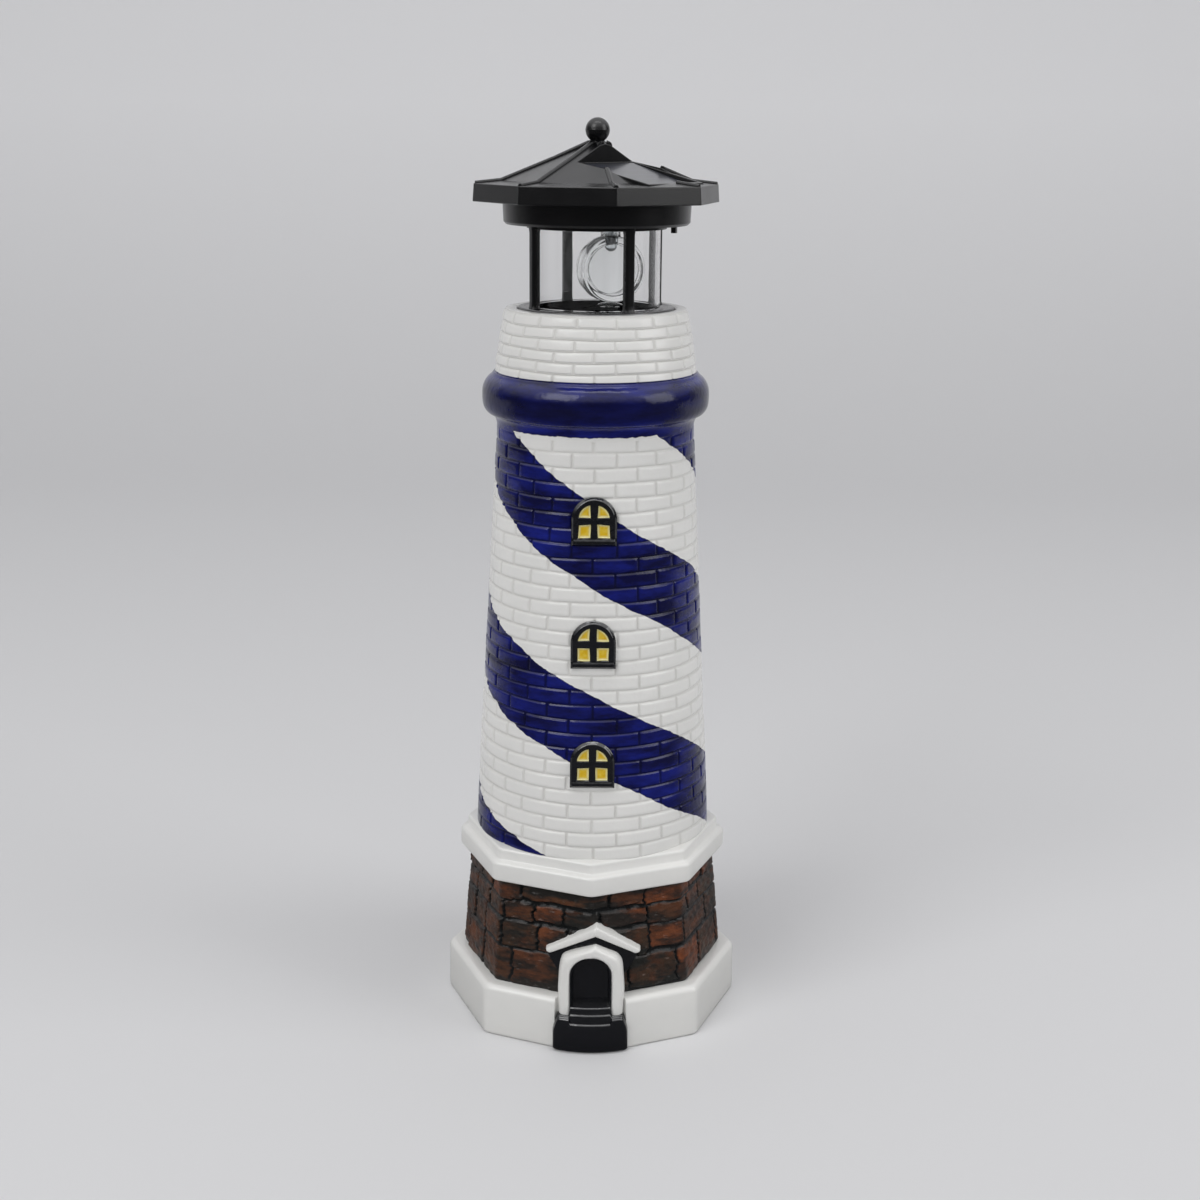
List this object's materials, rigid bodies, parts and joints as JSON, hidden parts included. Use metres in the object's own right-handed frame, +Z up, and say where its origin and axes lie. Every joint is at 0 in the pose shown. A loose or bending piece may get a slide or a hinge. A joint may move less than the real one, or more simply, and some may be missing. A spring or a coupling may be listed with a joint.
{
  "type": "garden lighthouse ornament",
  "caption": "Free-standing glazed ceramic lighthouse with spiral stripes, door and windows, and a drop-in solar lantern whose clear lens ring turns about its lamp.",
  "frame": {"origin": "middle of the foot, on the surface it stands on", "axes": "+Z up the tower, -Y out of the door and windows, +X to the right seen from the front"},
  "size_m": [0.125, 0.125, 0.37],
  "materials": {
    "glazed_earthenware": "gloss glaze over brushed underglaze colours",
    "black_abs": "moulded gloss",
    "clear_styrene": "clear moulded",
    "clear_acrylic": "clear moulded",
    "led_epoxy": "cast epoxy",
    "white_acetal": "moulded",
    "steel": "plated",
    "battery_sleeve": "shrink sleeve",
    "board_laminate": "solder mask",
    "solar_glass": "epoxy-sealed silicon cells"
  },
  "bodies": {
    "tower": {"tower_casting": "glazed_earthenware"},
    "lantern": {"ball_finial": "black_abs", "battery_cell": "battery_sleeve", "battery_contact_minus": "steel", "battery_contact_plus": "steel", "battery_holder": "black_abs", "board_screws": "steel", "bridge_screws": "steel", "circuit_board": "board_laminate", "clear_tube": "clear_styrene", "drum_floor_plate": "black_abs", "drum_housing": "black_abs", "floor_plate_screws": "steel", "gear_axle": "steel", "gear_bridge": "white_acetal", "lantern_base": "black_abs", "led": "led_epoxy", "led_stem": "white_acetal", "motor_can": "steel", "motor_end_cap": "black_abs", "pivot_bush": "clear_acrylic", "post_front_left": "black_abs", "post_front_right": "black_abs", "post_rear_left": "black_abs", "post_rear_right": "black_abs", "roof_screws": "steel", "roof_shell": "black_abs", "solar_panel": "solar_glass", "switch_case": "steel"},
    "lens_rotor": {"rotor_ring": "clear_acrylic", "front_lens": "clear_acrylic", "rear_lens": "clear_acrylic", "rotor_drive_gear": "white_acetal"},
    "idler": {"reduction_gear": "white_acetal"},
    "motor_rotor": {"motor_pinion": "white_acetal", "motor_shaft": "steel", "motor_armature": "steel"},
    "switch_knob": {"switch_slider": "black_abs"}
  },
  "joints": [
    {"name": "lantern_lift", "type": "slide", "parent": "tower", "child": "lantern", "axis": [0, 0, 1], "range_m": [0, 0.05]},
    {"name": "lens_spin", "type": "hinge", "parent": "lantern", "child": "lens_rotor", "pos_m": [0.0055, 0, 0.312], "axis": [0, 0, 1], "continuous": true},
    {"name": "idler_spin", "type": "hinge", "parent": "lantern", "child": "idler", "pos_m": [0.0055, 0.0144, 0.334], "axis": [0, 0, 1], "continuous": true},
    {"name": "motor_spin", "type": "hinge", "parent": "lantern", "child": "motor_rotor", "pos_m": [-0.00634, 0.01871, 0.336], "axis": [0, 0, 1], "continuous": true},
    {"name": "switch_slide", "type": "slide", "parent": "lantern", "child": "switch_knob", "axis": [0.342, 0.9397, 0], "range_m": [0, 0.002]}
  ],
  "couplings": [
    {"joint": "idler_spin", "follows": "lens_spin", "ratio": -3},
    {"joint": "motor_spin", "follows": "lens_spin", "ratio": 7.5}
  ]
}
